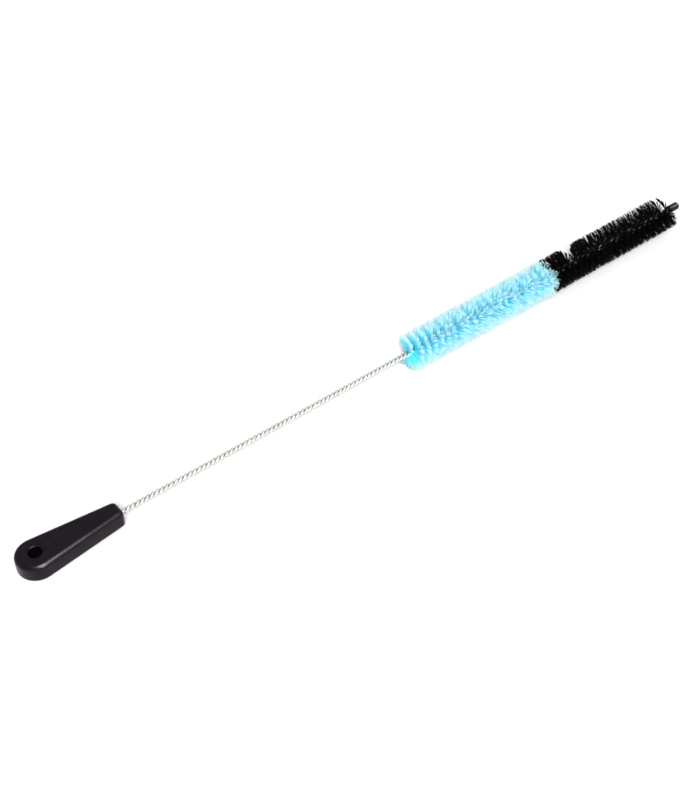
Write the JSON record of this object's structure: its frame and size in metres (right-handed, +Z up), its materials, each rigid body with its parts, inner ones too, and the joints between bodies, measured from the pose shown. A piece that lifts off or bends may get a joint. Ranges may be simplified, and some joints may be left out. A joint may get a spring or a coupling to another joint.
{
  "type": "hose cleaning brush",
  "caption": "Long twisted-wire brush for scrubbing the inside of a narrow hose: flat tapered handle with a hanging hole, bare wire stem, blue then black bristles and a capped tip.",
  "frame": {"origin": "centre of the bounding box on the table that the brush lies on", "axes": "+X from the handle towards the tip, +Z up from the table; the brush lies on the heel of the handle and its first bristles, so its axis rises 1.3 degrees towards the tip"},
  "size_m": [0.4992, 0.023, 0.0277],
  "materials": {
    "handle_plastic": "black moulded plastic, semi-gloss",
    "stem_wire": "bright galvanised drawn wire",
    "blue_nylon": "translucent light blue filament",
    "black_nylon": "black filament",
    "cap_vinyl": "soft black vinyl, satin"
  },
  "bodies": {
    "root": {"handle": "handle_plastic", "stem_wire_1": "stem_wire", "stem_wire_2": "stem_wire", "blue_bristles": "blue_nylon", "black_bristles": "black_nylon", "tip_cap": "cap_vinyl"}
  },
  "joints": []
}
